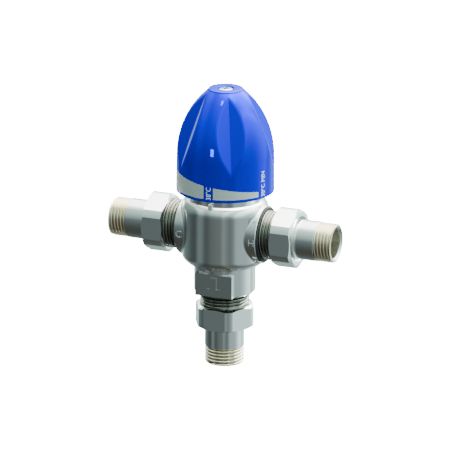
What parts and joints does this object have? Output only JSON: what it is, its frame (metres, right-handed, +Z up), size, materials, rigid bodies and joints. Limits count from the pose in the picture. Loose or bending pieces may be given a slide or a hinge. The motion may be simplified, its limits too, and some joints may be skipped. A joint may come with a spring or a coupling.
{
  "type": "thermostatic mixing valve",
  "caption": "Tee-shaped mixing valve with a turning temperature knob, hot and cold union inlets at the sides and a mixed-water union outlet below.",
  "frame": {"origin": "centre of the outlet tail's end face, at the bottom of the valve", "axes": "+Z up the spindle to the knob, +X from the cold inlet to the hot inlet, -Y towards the side with the pointer and the dial's figures"},
  "size_m": [0.1266, 0.052, 0.1517],
  "materials": {
    "nickel_plated_body": "satin nickel plate on cast brass",
    "nickel_plated_nut": "satin nickel plate on turned brass",
    "nickel_plated_tail": "satin nickel plate on turned brass",
    "nickel_plated_bonnet": "satin nickel plate on turned brass",
    "blue_plastic": "glossy moulded blue",
    "chrome_screw": "bright",
    "plain_brass": "turned, unplated",
    "seal_rubber": "black",
    "valve_plastic": "moulded, off-white",
    "shuttle_plastic": "moulded, black",
    "stainless_steel": "plain"
  },
  "bodies": {
    "valve": {"valve_body": "nickel_plated_body", "bonnet": "nickel_plated_bonnet", "bonnet_o_ring": "seal_rubber", "hot_seat_ring": "plain_brass", "return_spring": "stainless_steel", "cold_check_housing": "valve_plastic", "cold_check_o_ring": "seal_rubber", "cold_check_spring": "stainless_steel", "cold_strainer": "stainless_steel", "hot_check_housing": "valve_plastic", "hot_check_o_ring": "seal_rubber", "hot_check_spring": "stainless_steel", "hot_strainer": "stainless_steel", "cold_gasket": "seal_rubber", "cold_union_tail": "nickel_plated_tail", "hot_gasket": "seal_rubber", "hot_union_tail": "nickel_plated_tail", "outlet_gasket": "seal_rubber", "outlet_union_tail": "nickel_plated_tail"},
    "knob": {"temperature_knob": "blue_plastic", "knob_screw": "chrome_screw", "spindle": "plain_brass", "spindle_circlip": "stainless_steel", "spindle_o_ring_1": "seal_rubber", "spindle_o_ring_2": "seal_rubber"},
    "adjuster": {"adjuster_nut": "plain_brass", "overtravel_spring": "stainless_steel", "thrust_cup": "plain_brass", "thrust_retainer": "stainless_steel", "element_pin": "stainless_steel"},
    "shuttle": {"shuttle": "shuttle_plastic", "shuttle_o_ring": "seal_rubber", "element_cup": "plain_brass"},
    "cold_poppet": {"cold_check_poppet": "valve_plastic"},
    "hot_poppet": {"hot_check_poppet": "valve_plastic"},
    "cold_nut": {"cold_union_nut": "nickel_plated_nut"},
    "hot_nut": {"hot_union_nut": "nickel_plated_nut"},
    "outlet_nut": {"outlet_union_nut": "nickel_plated_nut"}
  },
  "joints": [
    {"name": "knob_turn", "type": "hinge", "parent": "valve", "child": "knob", "pos_m": [0, 0, 0.1], "axis": [0, 0, 1], "range_deg": [-72, 144]},
    {"name": "adjuster_travel", "type": "slide", "parent": "valve", "child": "adjuster", "axis": [0, 0, 1], "range_m": [-0.0006, 0.0012]},
    {"name": "shuttle_travel", "type": "slide", "parent": "valve", "child": "shuttle", "axis": [0, 0, 1], "range_m": [-0.0009, 0.0009], "stiffness_N_per_m": 8000, "deforming": ["return_spring"]},
    {"name": "cold_check_lift", "type": "slide", "parent": "valve", "child": "cold_poppet", "axis": [1, 0, 0], "range_m": [0, 0.0018], "stiffness_N_per_m": 150, "springref_m": -0.0018, "deforming": ["cold_check_spring"]},
    {"name": "hot_check_lift", "type": "slide", "parent": "valve", "child": "hot_poppet", "axis": [-1, 0, 0], "range_m": [0, 0.0018], "stiffness_N_per_m": 150, "springref_m": -0.0018, "deforming": ["hot_check_spring"]},
    {"name": "cold_nut_turn", "type": "hinge", "parent": "valve", "child": "cold_nut", "pos_m": [-0.0364, 0, 0.0737], "axis": [1, 0, 0], "continuous": true},
    {"name": "hot_nut_turn", "type": "hinge", "parent": "valve", "child": "hot_nut", "pos_m": [0.0364, 0, 0.0737], "axis": [1, 0, 0], "continuous": true},
    {"name": "outlet_nut_turn", "type": "hinge", "parent": "valve", "child": "outlet_nut", "pos_m": [0, 0, 0.0269], "axis": [0, 0, 1], "continuous": true}
  ],
  "couplings": [
    {"joint": "adjuster_travel", "follows": "knob_turn", "m_per_rad": 0.00047746}
  ]
}
